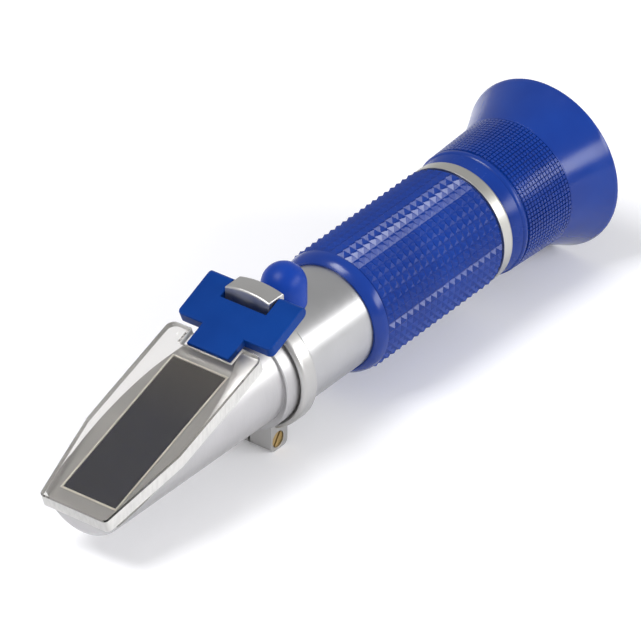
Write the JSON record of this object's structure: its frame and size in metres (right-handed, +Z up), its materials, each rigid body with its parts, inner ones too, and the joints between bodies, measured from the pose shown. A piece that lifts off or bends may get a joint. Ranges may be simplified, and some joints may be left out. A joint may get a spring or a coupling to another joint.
{
  "type": "handheld refractometer",
  "caption": "Handheld optical refractometer: slanted prism head under a hinged clear cover, ridged grip tube, turning focus ring and flared eyecup.",
  "frame": {"origin": "below the middle of the object, level with the lowest point of the eyecup's rim", "axes": "+X along the tube axis towards the eye, +Z up, with the prism face and its cover on top"},
  "size_m": [0.1622, 0.0398, 0.0405],
  "materials": {
    "head_satin": "bead-blasted satin, clear anodised",
    "collar_satin": "satin machined",
    "tube_satin": "satin, clear anodised",
    "ring_satin": "fine turned satin",
    "black_anodised": "matt black anodised",
    "blue_plate": "flat moulded blue",
    "blue_grip": "soft moulded ridges",
    "blue_focus": "fine square knurl",
    "blue_cup": "smooth soft blue",
    "blue_cap": "smooth soft blue",
    "seal_rubber": "black",
    "prism_cement": "pale grey sealing cement",
    "prism_glass": "polished, dark backed",
    "clear_cover": "clear acrylic with polished edges",
    "lens_glass": "coated optical glass",
    "brass": "turned",
    "steel": "ground"
  },
  "bodies": {
    "main_body": {"prism_head": "head_satin", "measuring_prism": "prism_glass", "prism_seal": "prism_cement", "head_seal_ring": "seal_rubber", "clamp_collar": "collar_satin", "clamp_screw": "brass", "body_tube": "tube_satin", "tube_baffle": "black_anodised", "calibration_bush": "brass", "grip_sleeve": "blue_grip", "rear_ring": "ring_satin", "reticle": "lens_glass", "reticle_ring": "black_anodised", "guide_pin": "steel", "drag_ring": "seal_rubber"},
    "cover": {"hinge_plate": "blue_plate", "hinge_pin": "steel", "daylight_plate": "clear_cover"},
    "lens_carrier": {"eyepiece_carrier": "black_anodised", "field_lens": "lens_glass", "lens_spacer": "black_anodised", "eye_lens": "lens_glass", "eye_lens_ring": "black_anodised"},
    "focus_grip": {"focus_ring": "blue_focus", "focus_retainer": "black_anodised", "eyecup": "blue_cup"},
    "cap": {"calibration_cap": "blue_cap"},
    "calibration_carriage": {"calibration_slider": "brass", "bimetal_strip": "steel", "strip_screws": "steel", "objective_cell": "black_anodised", "objective_lens": "lens_glass", "objective_ring": "black_anodised"},
    "calibration_adjuster": {"calibration_screw": "brass"}
  },
  "joints": [
    {"name": "cover_hinge", "type": "hinge", "parent": "main_body", "child": "cover", "pos_m": [-0.02049, 0, 0.03768], "axis": [0, 1, 0], "range_deg": [0, 115]},
    {"name": "focus_travel", "type": "slide", "parent": "main_body", "child": "lens_carrier", "axis": [1, 0, 0], "range_m": [0, 0.0025]},
    {"name": "focus_turn", "type": "hinge", "parent": "lens_carrier", "child": "focus_grip", "pos_m": [0.06371, 0, 0.01988], "axis": [1, 0, 0], "range_deg": [0, 300]},
    {"name": "cap_pull", "type": "slide", "parent": "main_body", "child": "cap", "axis": [0, 0, 1], "range_m": [0, 0.012]},
    {"name": "calibration_shift", "type": "slide", "parent": "main_body", "child": "calibration_carriage", "axis": [0, 0, 1], "range_m": [-0.0005, 0.0005]},
    {"name": "calibration_turn", "type": "hinge", "parent": "calibration_carriage", "child": "calibration_adjuster", "pos_m": [-0.01099, 0, 0.03188], "axis": [0, 0, 1], "range_deg": [-360, 360]}
  ],
  "couplings": [
    {"joint": "focus_travel", "follows": "focus_turn", "m_per_rad": 0.00047745},
    {"joint": "calibration_turn", "follows": "calibration_shift", "rad_per_m": 12566}
  ]
}
